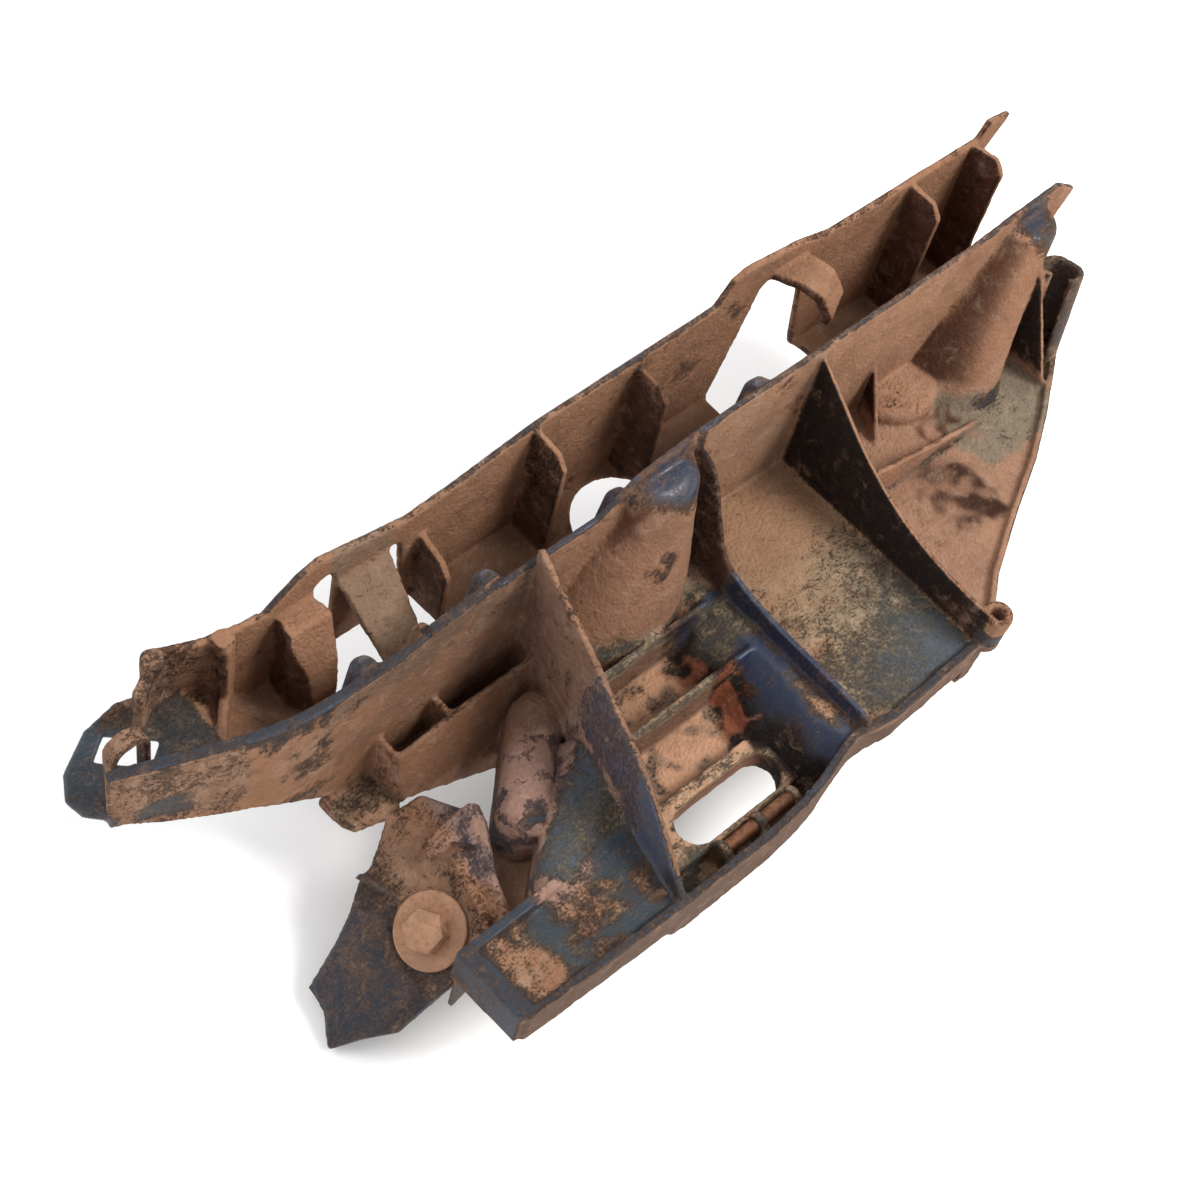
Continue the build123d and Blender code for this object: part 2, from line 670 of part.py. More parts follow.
with BuildPart() as ledge_floor:
    with BuildSketch(plan(front_foot)):
        with BuildLine():
            Polyline((84, 0), (156, 0), (150, -20), (84, -20), close=True)
        make_face()
    extrude(amount=floor_deck)
    with BuildSketch(section(80)):
        with BuildLine():
            Polyline((0, front_foot), (-16.2, front_foot), (-15.4, front_foot + floor_deck),
                     (0, front_foot + floor_deck), close=True)
        make_face()
    extrude(amount=80, mode=Mode.INTERSECT)
    # end rib and cross rib of the pocket
    for station, top in ledge_ribs:
        with BuildSketch(section(station)):
            with BuildLine():
                Polyline((0, top), (-9.5, top), (-16.2, front_foot), (0, front_foot), close=True)
            make_face()
        extrude(amount=web)
    add(left_gusset.part, mode=Mode.SUBTRACT)
    add(ledge_plate.part, mode=Mode.SUBTRACT)
ledge_floor.part.label = "ledge_pocket"
export_step(ledge_floor.part, "parts/ledge_pocket.step")

# Two hollow rounded lobes carry the ledge down into the left tray, with a groove between them
with BuildPart() as rear_lobe:
    with BuildSketch(plan(-34)):
        with Locations((125.5, -40.5)):
            SlotOverall(62, 21, rotation=43)
    extrude(amount=35)
    fillet(rear_lobe.faces().sort_by(Axis.Z)[-1].edges(), radius=9.5)
    with BuildSketch(plan(-34)):
        with Locations((125.5, -40.5)):
            SlotOverall(54, 13, rotation=43)
    extrude(amount=28, mode=Mode.SUBTRACT)
    add(left_gusset.part, mode=Mode.SUBTRACT)
    with BuildSketch(plan(-50)):
        with BuildLine():
            Polyline((90, -17), (150.3, -19.5), (128.5, -117), (90, -90), close=True)
        make_face()
    extrude(amount=60, mode=Mode.INTERSECT)
    add(ledge_plate.part, mode=Mode.SUBTRACT)
rear_lobe.part.label = "saddle_rear_lobe"
export_step(rear_lobe.part, "parts/saddle_rear_lobe.step")

with BuildPart() as front_lobe:
    with BuildSketch(plan(-30)):
        with Locations((125.5, -70.5)):
            SlotOverall(76, 29, rotation=38)
    extrude(amount=30)
    fillet(front_lobe.faces().sort_by(Axis.Z)[-1].edges(), radius=12)
    with BuildSketch(plan(-30)):
        with Locations((125.5, -70.5)):
            SlotOverall(69, 22, rotation=38)
    extrude(amount=24, mode=Mode.SUBTRACT)
    # floor of the deep corner between the lobes and the arm
    with BuildSketch(plan(-34)):
        with BuildLine():
            Polyline((86, -50), (112, -50), (128, -62), (108, -84), (82, -84), close=True)
        make_face()
    extrude(amount=4)
    add(left_gusset.part, mode=Mode.SUBTRACT)
    add(left_tray.part, mode=Mode.SUBTRACT)
    add(tray_rim.part, mode=Mode.SUBTRACT)
    add(rear_lobe.part, mode=Mode.SUBTRACT)
    with BuildSketch(plan(-50)):
        with BuildLine():
            Polyline((80, -30), (145.5, -30), (139, -66), (128, -72), (109, -81), (101, -84), (80, -84),
                     close=True)
        make_face()
    extrude(amount=60, mode=Mode.INTERSECT)
front_lobe.part = front_lobe.part.solids().sort_by(SortBy.VOLUME)[-1]
front_lobe.part.label = "saddle_front_lobe"
export_step(front_lobe.part, "parts/saddle_front_lobe.step")

# ---------------------------------------------------------------- right-hand panel
panel_line = [
    (308, -114), (315.5, -109), (333, -96.5), (362.5, -81), (392, -67), (413, -54.8), (439, -38), (450, -30),
]
with BuildPart() as panel_rim:
    with BuildSketch(plan(-15)):
        with BuildLine():
            Polyline(*panel_line)
            offset(amount=wall, side=Side.LEFT)
        make_face()
    extrude(amount=15 + lip_height)
    add(front_skirt.part, mode=Mode.SUBTRACT)
    add(right_gusset.part, mode=Mode.SUBTRACT)
panel_rim.part.label = "panel_rim"
export_step(panel_rim.part, "parts/panel_rim.step")

with BuildPart() as right_panel:
    with BuildSketch(plan(-floor_deck)):
        with BuildLine():
            Polyline((tray_right + web, 0), (452, 0), (449.5, -29.5), (439, -37), (413, -53.8), (392, -66),
                     (362.5, -80), (333, -95.5), (315.5, -108), (308, -113), (tray_right + web, -113),
                     close=True)
        make_face()
        with Locations((tray_right + 5.5, lip_inner + 1)):
            Circle(6, mode=Mode.SUBTRACT)
    extrude(amount=floor_deck)
    add(panel_rim.part, mode=Mode.SUBTRACT)
    add(front_skirt.part, mode=Mode.SUBTRACT)
    add(right_gusset.part, mode=Mode.SUBTRACT)
right_panel.part.label = "right_panel"
export_step(right_panel.part, "parts/right_panel.step")

with BuildPart() as panel_rib:
    with BuildSketch(elevation(-36)):
        with BuildLine():
            Polyline((390, 0), (tray_right + web, 0), (tray_right + web, 26))
            Spline((tray_right + web, 26), (331, 17), (362, 8), (390, 0))
        make_face()
    extrude(amount=2.2)
panel_rib.part.label = "panel_rib"
export_step(panel_rib.part, "parts/panel_rib.step")

with BuildPart() as panel_gusset:
    with BuildSketch(upright((350, 0), (341.5, -20))):
        with BuildLine():
            Polyline((0, 0), (0, 30), (22, 0), close=True)
        make_face()
    extrude(amount=2.2)
    add(front_rail.part, mode=Mode.SUBTRACT)
panel_gusset.part.label = "panel_gusset"
export_step(panel_gusset.part, "parts/panel_gusset.step")

with BuildPart() as right_dome:
    with BuildSketch(plan(0)):
        with Locations((398, 0)):
            Ellipse(25, 33)
    with BuildSketch(plan(40)):
        with Locations((416, 0)):
            Ellipse(19, 20)
    with BuildSketch(plan(69)):
        with Locations((431, 0)):
            Ellipse(14, 12.5)
    loft()
    fillet(right_dome.faces().sort_by(Axis.Z)[-1].edges(), radius=5)
    split(bisect_by=elevation(0), keep=Keep.TOP)
right_dome.part.label = "right_dome"
export_step(right_dome.part, "parts/right_dome.step")

with BuildPart() as round_pad:
    with BuildSketch(plan(0)):
        with Locations((367, 0)):
            Circle(22)
    extrude(amount=9)
    fillet(round_pad.faces().sort_by(Axis.Z)[-1].edges(), radius=5)
    split(bisect_by=elevation(0), keep=Keep.TOP)
    add(right_dome.part, mode=Mode.SUBTRACT)
    add(panel_gusset.part, mode=Mode.SUBTRACT)
round_pad.part = round_pad.part.solids().sort_by(SortBy.VOLUME)[-1]
round_pad.part.label = "round_pad"
export_step(round_pad.part, "parts/round_pad.step")

with BuildPart() as end_gusset:
    with BuildSketch(section(425)):
        with BuildLine():
            Polyline((0, 0), (-42, 0), (-13, 62), (0, 65), close=True)
        make_face()
    extrude(amount=web)
    add(right_dome.part, mode=Mode.SUBTRACT)
    add(panel_rim.part, mode=Mode.SUBTRACT)
end_gusset.part = end_gusset.part.solids().sort_by(SortBy.VOLUME)[-1]
end_gusset.part.label = "end_gusset"
export_step(end_gusset.part, "parts/end_gusset.step")

# C-shaped pocket with a small barrel at its foot; it leans back towards the dome
pocket_foot = Vector(441, -26, -6)
pocket_lean = Vector(-5, 4.5, 56)
with BuildPart() as pin_pocket:
    pocket_plane = Plane(origin=datum + pocket_foot, x_dir=(1, 0, 0.09), z_dir=pocket_lean)
    with BuildSketch(pocket_plane):
        SlotOverall(19, 13.5, rotation=-75)
        SlotOverall(13.5, 8, rotation=-75, mode=Mode.SUBTRACT)
        with Locations((-7, -3)):
            Rectangle(9, 8, mode=Mode.SUBTRACT)
    extrude(amount=59)
    with BuildSketch(pocket_plane):
        with Locations((1, -3.5)):
            Circle(4)
            Circle(1.8, mode=Mode.SUBTRACT)
    extrude(amount=16)
    split(bisect_by=plan(0), keep=Keep.TOP)
    add(end_gusset.part, mode=Mode.SUBTRACT)
    add(right_dome.part, mode=Mode.SUBTRACT)
    add(panel_rim.part, mode=Mode.SUBTRACT)
pin_pocket.part = pin_pocket.part.solids().sort_by(SortBy.VOLUME)[-1]
pin_pocket.part.label = "pin_pocket"
export_step(pin_pocket.part, "parts/pin_pocket.step")
# ---------------------------------------------------------------- mounting arm
arm_outline = [
    (15.5, 44), (6.3, 39), (-2.6, 35), (-8.1, 35), (-20.5, 28.6), (-31.9, 24.8), (-50.8, 20.5),
    (-52.7, 9.2), (-57.8, 2.5), (-60.6, -1.8), (-48.5, -8.2), (-36, -16.6), (-9, -19.4),
    (24, -23), (31, -3), (36, 5), (42, 14), (44.5, 22), (38.9, 24.1), (30.5, 40),
]
with BuildPart() as arm:
    with BuildSketch(on_arm(arm_top)):
        with BuildLine():
            Polyline(*arm_outline, close=True)
        make_face()
        Circle(sleeve_radius, mode=Mode.SUBTRACT)
    extrude(amount=-arm_thickness)
    # deeper flanges along the lower and upper edges
    with BuildSketch(on_arm(arm_top - arm_thickness)):
        with BuildLine():
            Polyline((-60.6, -1.8), (-48.5, -8.2), (-36, -16.6), (-9, -19.4), (12, -21.5), (12, -18.5),
                     (-8.5, -16.2), (-34.6, -13.6), (-47, -5.4), (-58.9, 0.8), close=True)
        make_face()
        with BuildLine():
            Polyline((15.5, 44), (6.3, 39), (-2.6, 35), (-8.1, 35), (-20.5, 28.6), (-31.9, 24.8),
                     (-31.1, 22), (-19.5, 25.8), (-7.5, 32), (-2, 32), (7.6, 36.3), (15.5, 40.6), close=True)
        make_face()
    extrude(amount=-flange_depth)
    # raised panel on the left half
    with BuildSketch(on_arm(arm_top)):
        with BuildLine():
            Polyline((-56.1, 2.4), (-45.1, -4.5), (-35.5, -11.5), (-19, -13.5), (-16.5, -10), (-16.5, 0),
                     (-12, 11.8), (-9.5, 14.5), (-15, 28.5), (-20.5, 26.6), (-31.9, 22.8), (-49, 18.8),
                     (-50.8, 8.5), close=True)
        make_face()
    extrude(amount=1.4)
    # cross rib above the bolt, and the ridge on its right
    with BuildSketch(on_arm(arm_top)):
        with BuildLine():
            Polyline((-8.1, 35), (-1.5, 16.8), (1, 17.8), (-5.4, 35), close=True)
        make_face()
        with BuildLine():
            Polyline((28.5, 12.4), (25, 3.3), (23, -6.6), (20, -16), (17.3, -14.6), (20, -6), (22, 4),
                     (25.5, 13.6), close=True)
        make_face()
    extrude(amount=4.5)
    add(left_tray.part, mode=Mode.SUBTRACT)
    add(ledge_pad.part, mode=Mode.SUBTRACT)
    add(ledge_plate.part, mode=Mode.SUBTRACT)
    add(rear_lobe.part, mode=Mode.SUBTRACT)
    add(front_lobe.part, mode=Mode.SUBTRACT)
arm.part = arm.part.solids().sort_by(SortBy.VOLUME)[-1]
arm.part.label = "arm"
export_step(arm.part, "parts/arm.step")

with BuildPart() as tray_web:
    with BuildSketch(elevation(-84)):
        with BuildLine():
            Polyline((53, -floor_deck), (100, -floor_deck), (80, -26), (53, -48), close=True)
        make_face()
    extrude(amount=web)
    add(arm.part, mode=Mode.SUBTRACT)
    add(front_lobe.part, mode=Mode.SUBTRACT)
    add(rear_lobe.part, mode=Mode.SUBTRACT)
    add(tray_rim.part, mode=Mode.SUBTRACT)
tray_web.part.label = "tray_back_web"
export_step(tray_web.part, "parts/tray_back_web.step")

with BuildPart() as sleeve:
    with BuildSketch(on_arm(thread_gap)):
        Circle(sleeve_radius)
        Circle(sleeve_bore, mode=Mode.SUBTRACT)
    extrude(amount=arm_top - thread_gap)
sleeve.part.label = "compression_sleeve"
export_step(sleeve.part, "parts/compression_sleeve.step")

with BuildPart() as arm_flap:
    with BuildSketch(on_arm(arm_top)):
        with BuildLine():
            Polyline((44, 22), (36.6, 23.5), (29, 24), (22, 24), (17.5, 19), (23, 16.5), (30, 16), (35, 9),
                     (37.5, 8.5), (41.5, 14.5), close=True)
        make_face()
    extrude(amount=5)
    add(ledge_plate.part, mode=Mode.SUBTRACT)
    add(rear_lobe.part, mode=Mode.SUBTRACT)
arm_flap.part.label = "arm_flap"
export_step(arm_flap.part, "parts/arm_flap.step")

# Captive bolt: the necked shank turns in the sleeve, the full thread beyond it cannot pull back
with BuildPart() as washer:
    with BuildSketch(on_arm(arm_top + flange_gap)):
        Circle(washer_radius)
        Circle(neck_radius, mode=Mode.SUBTRACT)
    extrude(amount=washer_thickness)
    fillet(washer.edges().filter_by(GeomType.CIRCLE).sort_by(SortBy.LENGTH)[-2:], radius=0.6)
washer.part.label = "bolt_flange_washer"
export_step(washer.part, "parts/bolt_flange_washer.step")

with BuildPart() as bolt:
    with BuildSketch(on_arm(arm_top + flange_gap + washer_thickness)):
        RegularPolygon(hex_flats / 2, 6, major_radius=False)
    extrude(amount=hex_height)
    with BuildSketch(on_arm(arm_top + flange_gap + washer_thickness)):
        Circle(neck_radius)
    extrude(amount=-arm_top - flange_gap - washer_thickness - 1)
    with BuildSketch(on_arm(0)):
        Circle(thread_radius)
    extrude(amount=-thread_length)
bolt.part.label = "fixing_bolt"
export_step(bolt.part, "parts/fixing_bolt.step")
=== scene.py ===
import math
import bpy
import bmesh
import numpy as np
from mathutils import Matrix, Vector, noise


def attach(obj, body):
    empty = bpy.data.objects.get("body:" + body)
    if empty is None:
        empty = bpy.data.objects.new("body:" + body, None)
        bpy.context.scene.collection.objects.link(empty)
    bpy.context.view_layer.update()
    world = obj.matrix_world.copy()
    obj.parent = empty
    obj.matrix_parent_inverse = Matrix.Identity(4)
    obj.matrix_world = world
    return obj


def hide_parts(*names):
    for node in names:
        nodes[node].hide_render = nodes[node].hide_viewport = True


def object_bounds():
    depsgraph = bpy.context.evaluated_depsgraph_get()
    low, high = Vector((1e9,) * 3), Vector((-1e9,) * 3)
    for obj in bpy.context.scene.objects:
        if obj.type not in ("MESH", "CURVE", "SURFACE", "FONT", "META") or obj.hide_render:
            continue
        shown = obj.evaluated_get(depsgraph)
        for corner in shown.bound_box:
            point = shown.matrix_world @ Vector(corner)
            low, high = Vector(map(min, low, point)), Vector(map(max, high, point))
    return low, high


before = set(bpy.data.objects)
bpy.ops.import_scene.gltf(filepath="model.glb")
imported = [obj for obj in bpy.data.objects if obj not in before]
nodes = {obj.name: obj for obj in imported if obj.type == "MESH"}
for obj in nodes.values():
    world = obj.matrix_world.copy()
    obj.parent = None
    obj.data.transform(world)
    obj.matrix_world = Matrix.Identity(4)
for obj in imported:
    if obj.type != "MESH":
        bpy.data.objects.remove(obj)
cad_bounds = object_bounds()

# Bracket coordinates (mm): X along the rails, Y from the front rail's front face, Z from the tray level.
DATUM = np.array([-68.0, 62.5, 42.0])
VOXEL = 0.0009
STEEL = ("fixing_bolt", "bolt_flange_washer", "compression_sleeve", "retaining_pin")


# ---------------------------------------------------------------- node helpers
class Shader:
    """A small helper that builds a material's node tree."""

    def __init__(self, name):
        self.material = bpy.data.materials.new(name)
        self.material.use_nodes = True
        self.tree = self.material.node_tree
        self.surface = next(n for n in self.tree.nodes if n.type == "BSDF_PRINCIPLED")

    def add(self, kind, **values):
        node = self.tree.nodes.new(kind)
        for key, value in values.items():
            setattr(node, key, value)
        return node

    def plug(self, source, target):
        if isinstance(source, (int, float)):
            target.default_value = source
        elif isinstance(source, tuple):
            target.default_value = (*source, 1.0)
        else:
            self.tree.links.new(source, target)

    def position(self):
        return self.add("ShaderNodeTexCoord").outputs["Object"]

    def stretched(self, scale, turn=0.0):
        mapping = self.add("ShaderNodeMapping")
        mapping.inputs["Scale"].default_value = scale
        mapping.inputs["Rotation"].default_value = (0, 0, turn)
        self.plug(self.position(), mapping.inputs["Vector"])
        return mapping.outputs["Vector"]

    def noise(self, scale, detail=6.0, roughness=0.6, distortion=0.0, vector=None):
        node = self.add("ShaderNodeTexNoise")
        node.inputs["Scale"].default_value = scale
        node.inputs["Detail"].default_value = detail
        node.inputs["Roughness"].default_value = roughness
        node.inputs["Distortion"].default_value = distortion
        self.plug(vector or self.position(), node.inputs["Vector"])
        return node.outputs["Fac"]

    def cells(self, scale, feature="F1"):
        node = self.add("ShaderNodeTexVoronoi", feature=feature)
        node.inputs["Scale"].default_value = scale
        self.plug(self.position(), node.inputs["Vector"])
        return node.outputs["Distance"]

    def attribute(self, name):
        return self.add("ShaderNodeAttribute", attribute_name=name).outputs["Fac"]

    def step(self, value, low, high):
        node = self.add("ShaderNodeMapRange", interpolation_type="SMOOTHSTEP")
        self.plug(value, node.inputs["Value"])
        node.inputs["From Min"].default_value = low
        node.inputs["From Max"].default_value = high
        return node.outputs["Result"]

    def math(self, operation, first, second, clamp=False):
        node = self.add("ShaderNodeMath", operation=operation, use_clamp=clamp)
        self.plug(first, node.inputs[0])
        self.plug(second, node.inputs[1])
        return node.outputs[0]

    def mix(self, factor, first, second, blend="MIX"):
        node = self.add("ShaderNodeMix", data_type="RGBA", blend_type=blend)
        self.plug(factor, node.inputs[0])
        self.plug(first, node.inputs[6])
        self.plug(second, node.inputs[7])
        return node.outputs[2]

    def bump(self, height, strength, distance, normal=None):
        node = self.add("ShaderNodeBump")
        node.inputs["Strength"].default_value = strength
        node.inputs["Distance"].default_value = distance
        self.plug(height, node.inputs["Height"])
        if normal:
            self.plug(normal, node.inputs["Normal"])
        return node.outputs["Normal"]

    def out(self, name, value):
        self.plug(value, self.surface.inputs[name])
        return self


def srgb(r, g, b):
    """A colour given as 0-255 screen values, as linear values."""
    return tuple((v / 255 / 12.92) if v <= 10 else ((v / 255 + 0.055) / 1.055) ** 2.4 for v in (r, g, b))


# ---------------------------------------------------------------- mesh helpers
def merged(names):
    """One bmesh with copies of the named CAD nodes' meshes."""
    bm = bmesh.new()
    for name in names:
        bm.from_mesh(nodes[name].data)
    return bm


def skin(name, names, voxel, rounds):
    """The named CAD nodes as one remeshed, softly rounded surface."""
    mesh = bpy.data.meshes.new(name)
    bm = merged(names)
    bm.to_mesh(mesh)
    bm.free()
    piece = bpy.data.objects.new(name, mesh)
    bpy.context.scene.collection.objects.link(piece)
    remesh = piece.modifiers.new("remesh", "REMESH")
    remesh.mode = "VOXEL"
    remesh.voxel_size = voxel
    remesh.use_smooth_shade = True
    smooth = piece.modifiers.new("smooth", "SMOOTH")
    smooth.factor = 0.5
    smooth.iterations = rounds
    graph = bpy.context.evaluated_depsgraph_get()
    piece.data = bpy.data.meshes.new_from_object(piece.evaluated_get(graph))
    piece.data.name = name
    piece.modifiers.clear()
    return piece


def vertices(mesh):
    co = np.empty(len(mesh.vertices) * 3, dtype=np.float64)
    mesh.vertices.foreach_get("co", co)
    return co.reshape(-1, 3)


def normals(mesh):
    no = np.empty(len(mesh.vertices) * 3, dtype=np.float64)
    mesh.vertex_normals.foreach_get("vector", no)
    return no.reshape(-1, 3)


def edge_pairs(mesh):
    pairs = np.empty(len(mesh.edges) * 2, dtype=np.int64)
    mesh.edges.foreach_get("vertices", pairs)
    return pairs.reshape(-1, 2)


def spread(values, pairs, rounds):
    """Averages a per-vertex value over its neighbours, a few times."""
    count = np.bincount(pairs.ravel(), minlength=len(values)).astype(float)
    count[count == 0] = 1
    for _ in range(rounds):
        total = np.bincount(pairs[:, 0], values[pairs[:, 1]], len(values))
        total += np.bincount(pairs[:, 1], values[pairs[:, 0]], len(values))
        values = 0.5 * values + 0.5 * total / count
    return values


def hollow(mesh, pairs, rounds):
    """How far each vertex lies in a hollow (positive) or on a ridge (negative), in metres."""
    co = vertices(mesh)
    soft = np.stack([spread(co[:, i], pairs, rounds) for i in range(3)], axis=1)
    return ((soft - co) * normals(mesh)).sum(axis=1)


def store(mesh, name, values):
    mesh.attributes.new(name, "FLOAT", "POINT").data.foreach_set("value", np.ascontiguousarray(values, np.float32))


def ramp(value, low, high):
    t = np.clip((value - low) / (high - low), 0, 1)
    return t * t * (3 - 2 * t)


# ---------------------------------------------------------------- the moulding
plastic = [name for name in nodes if name not in STEEL]
moulding = skin("moulding", plastic, VOXEL, 3)
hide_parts(*plastic)
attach(moulding, "bracket")
mesh = moulding.data
pairs = edge_pairs(mesh)
rest = vertices(mesh)
place = rest * 1000 - DATUM
# without a seed, noise_vector is shifted by the clock and every run has other mud
noise.seed_set(4)
wander = np.array([noise.noise_vector(Vector(p) * 0.045) * 6 + noise.noise_vector(Vector(p) * 0.2) * 2.2 for p in place])
drifted = place + wander
broken = ramp(np.array([noise.noise(Vector(p) * 0.13) for p in place]), -0.3, 0.12)
facing = normals(mesh)
cavity = spread(hollow(mesh, pairs, 6), pairs, 2)
ridge = ramp(-hollow(mesh, pairs, 3), 0.00008, 0.0003)
corner = ramp(cavity, 0.00008, 0.0005)
wide = spread(corner, pairs, 14)


def around(x0=-999, x1=999, y0=-999, y1=999, z0=-999, z1=999, soft=3.0):
    """A mask over a block of bracket space, in mm, with soft sides."""
    where = drifted if soft > 2 else place
    mask = np.ones(len(place))
    for axis, (low, high) in enumerate(((x0, x1), (y0, y1), (z0, z1))):
        mask *= ramp(where[:, axis], low - soft, low + soft) * (1 - ramp(where[:, axis], high - soft, high + soft))
    return mask


def looking(x=0, y=0, z=0, low=0.3, high=0.7):
    """A mask over the surface that faces one way."""
    return ramp(facing @ np.array([x, y, z], float), low, high)


def blob(x, y, z, size):
    """A round soft mask."""
    return 1 - ramp(np.linalg.norm(drifted - np.array([x, y, z], float), axis=1), size * 0.3, size)


def on_line(x0, y0, x1, y1, width, z0=-999, z1=999):
    """A mask along an upright strip through two plan points."""
    run = np.array([x1 - x0, y1 - y0], float)
    length = np.linalg.norm(run)
    run /= length
    off = place[:, :2] - np.array([x0, y0], float)
    along = off @ run
    away = np.abs(off @ np.array([-run[1], run[0]]))
    inside = (along > -2) & (along < length + 2)
    return (1 - ramp(away, width * 0.7, width)) * inside * around(z0=z0, z1=z1, soft=1)


MUD = srgb(176, 128, 96)
DARK_MUD_AND_SHADE = srgb(116, 80, 60)
PINK = srgb(182, 142, 124)
PEACH = srgb(226, 170, 130)
TAN = srgb(166, 146, 116)
BROWN = srgb(88, 58, 42)
DUST = srgb(128, 102, 84)
BLACK = srgb(26, 27, 32)
NAVY = srgb(36, 41, 52)
BLUE = srgb(52, 66, 100)
TEAL = srgb(40, 49, 54)
STEELY = srgb(74, 82, 92)

cover = np.full(len(place), 0.62)
tint = np.tile(np.array(MUD), (len(place), 1))
base = np.tile(np.array(NAVY), (len(place), 1))
gloss = np.zeros(len(place))


def paint(mask, mud=None, colour=None, under=None, shine=None):
    """Sets how much mud there is, its colour, and the plastic's colour and shine under it, where a mask says."""
    global cover, tint, base, gloss
    if mud is not None:
        cover = cover + (mud - cover) * mask
    if colour is not None:
        tint = tint + (np.array(colour) - tint) * mask[:, None]
    if under is not None:
        base = base + (np.array(under) - base) * mask[:, None]
    if shine is not None:
        gloss = gloss + (shine - gloss) * mask


# undersides and the back of the rear rail stay dusty; the black plastic on the undersides is painted shade
paint(looking(z=-1), mud=0.42, colour=DUST, under=BLACK)
paint(around(y0=43.5) * looking(y=1), mud=0.5, colour=DUST, under=NAVY)
# channel between the rails
channel = around(x0=30, y0=3, y1=43, z0=-4)
paint(channel, mud=0.84, colour=MUD)
paint(channel * looking(y=-1), mud=0.92)
paint(channel * looking(z=1) * around(z1=6), mud=0.8, colour=srgb(160, 120, 92))
# faces turned to -X: the darker mud colour here is painted shade
paint(channel * looking(x=-1), mud=0.62, colour=DARK_MUD_AND_SHADE)
paint(around(x0=176, x1=200, y0=20, y1=43) * looking(x=1), mud=0.6, under=STEELY)
paint(around(x0=240, x1=247, y0=20, y1=43), mud=0.66, colour=DARK_MUD_AND_SHADE)
# the dark brown on the -X faces at the right end of the channel is painted shade
paint(around(x0=396, x1=470, y0=20, y1=43) * looking(x=-1), mud=0.7, colour=srgb(104, 66, 50))
# buttress tips show grey plastic
paint(around(x0=60, x1=300, y0=2.6, y1=16, z0=28), mud=0.34, under=srgb(92, 96, 108))
paint(around(x0=94, x1=122, y0=4, y1=42, z0=5), mud=0.82, colour=srgb(160, 128, 102))
# left end
paint(around(x1=30, z0=10), mud=0.6, colour=srgb(168, 128, 100))
paint(around(x1=14, y0=23, z0=12, z1=21.5), mud=0.12, under=srgb(44, 53, 60), shine=0.4)
paint(around(x0=-6, x1=32, y0=10, y1=50, z0=13, z1=24), mud=0.28, colour=srgb(150, 128, 106), under=srgb(38, 44, 50))
# the black plastic over the window at the left end is painted shade
paint(blob(-4, 33, 30, 18), mud=0.28, under=BLACK)
# front rail, front face
face = around(y1=1.2, z0=-34) * looking(y=-1, low=0.2, high=0.6)
paint(face * around(x1=64), mud=0.38, colour=srgb(156, 124, 100), under=BLACK)
paint(face * around(x1=26, z0=18), mud=0.26)
paint(face * around(x0=60, x1=156), mud=0.82, colour=srgb(150, 110, 84))
paint(face * around(x0=60, x1=156, z0=30), mud=0.72, colour=srgb(136, 106, 84), under=NAVY)
paint(face * around(x0=156, x1=234), mud=0.86, colour=srgb(166, 122, 92))
paint(face * around(x0=236, x1=302), mud=0.86, colour=srgb(176, 134, 104))
paint(face * around(x0=302), mud=0.9, colour=srgb(182, 134, 102))
# domes
dome = around(x0=176, x1=233, y0=-32, y1=0, z0=-10)
paint(dome, mud=0.84, colour=srgb(166, 122, 94))
# the dark brown on the dome's left flank is dark mud and painted shade
paint(dome * looking(x=-0.9, y=-0.3, low=0.7, high=0.9) * broken, mud=0.8, colour=srgb(104, 64, 46))
# bare dome top: the lighter bluish plastic is a painted highlight, and the gloss is real
paint(blob(216, -4, 58, 22), mud=0.16, under=srgb(48, 54, 66), shine=0.85)
paint(blob(206, -20, 28, 11) * broken, mud=0.42, under=BLACK)
paint(around(x0=385, x1=450, y0=-26, y1=0), mud=0.86, colour=srgb(172, 124, 94))
# the dark brown on this dome's left flank is dark mud and painted shade
paint(around(x0=372, x1=450, y0=-34, y1=0, z0=3) * looking(x=-0.9, y=-0.3, low=0.62, high=0.86), mud=0.86, colour=srgb(84, 52, 38))
# bare dome top: the lighter bluish plastic is a painted highlight, and the gloss is real
paint(blob(432, -5, 68, 17), mud=0.18, under=srgb(46, 52, 63), shine=0.8)
# slotted bay
bay = around(x0=140, x1=232, y0=-122, y1=-4, z0=-26, z1=2)
paint(bay * looking(z=1), mud=0.62, colour=srgb(166, 132, 106), under=srgb(88, 94, 98))
paint(bay * looking(z=1) * broken, mud=0.9, colour=PEACH)
paint(bay * looking(y=-1), mud=0.78, colour=srgb(150, 112, 88), under=STEELY)
paint(bay * around(z0=-4), mud=0.5, colour=TAN, under=srgb(98, 108, 118))
paint(around(x0=140, x1=207, y0=-108, y1=-80, z0=-16, z1=-12), mud=0.56, colour=srgb(206, 168, 132), under=srgb(92, 100, 98))
paint(around(x0=150, x1=206, y0=-106, y1=-87, z0=-27, z1=-15.5, soft=0.6), mud=0.9, colour=srgb(150, 108, 84))
paint(around(x0=130, x1=158, y0=-121, y1=-104, z0=-24, z1=-14), mud=0.3, colour=TAN, under=srgb(76, 92, 96))
paint(around(x0=158, x1=202, y0=-119, y1=-107, z0=-18), mud=0.5, colour=TAN, under=srgb(74, 88, 98))
# the bluish plastic on the slope is a painted reflection
slope = around(x0=209, x1=234, y0=-122, y1=-30, z0=-26, z1=1)
paint(slope, mud=0.12, colour=DARK_MUD_AND_SHADE, under=srgb(40, 49, 70), shine=0.5)
